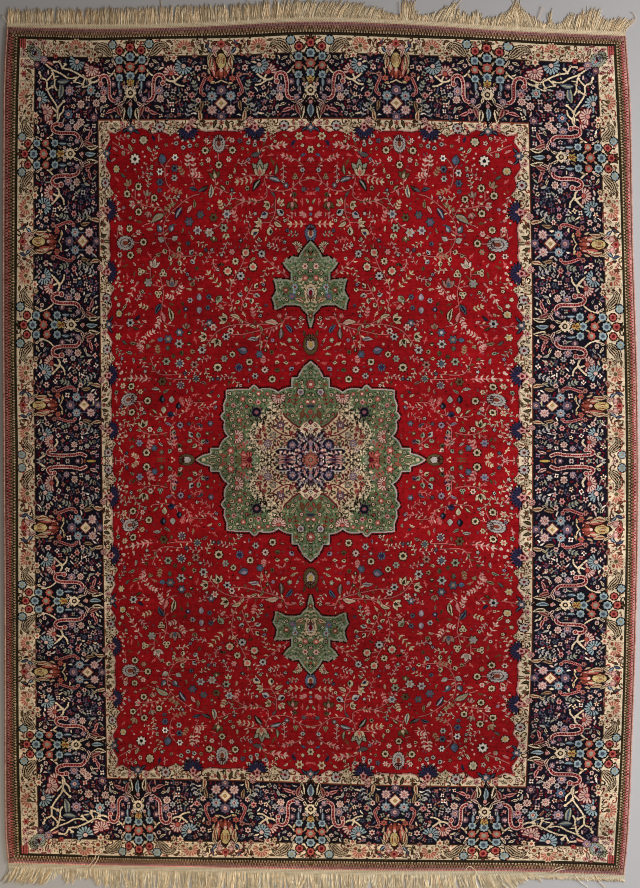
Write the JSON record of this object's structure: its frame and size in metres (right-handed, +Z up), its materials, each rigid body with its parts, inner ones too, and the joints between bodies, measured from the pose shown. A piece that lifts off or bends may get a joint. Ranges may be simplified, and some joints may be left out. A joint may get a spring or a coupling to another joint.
{
  "type": "persian rug",
  "caption": "Room-size hand-knotted pile carpet laid flat, with a medallion field, flowered borders, overcast sides and cotton fringe at both ends.",
  "frame": {"origin": "on the floor, at the middle of the carpet's bounding box", "axes": "+X across the carpet to its right side as pictured, +Y along it to the end at the picture's top, +Z up from the floor through the pile"},
  "size_m": [3.0132, 4.2127, 0.01],
  "materials": {
    "wool_pile": "short cut wool pile, soft sheen",
    "overcast_wool": "overcast wool yarn",
    "warp_cotton": "undyed twisted cotton, matte"
  },
  "bodies": {
    "root": {"pile": "wool_pile", "selvage_left": "overcast_wool", "selvage_right": "overcast_wool", "fringe_top": "warp_cotton", "fringe_bottom": "warp_cotton"}
  },
  "joints": []
}
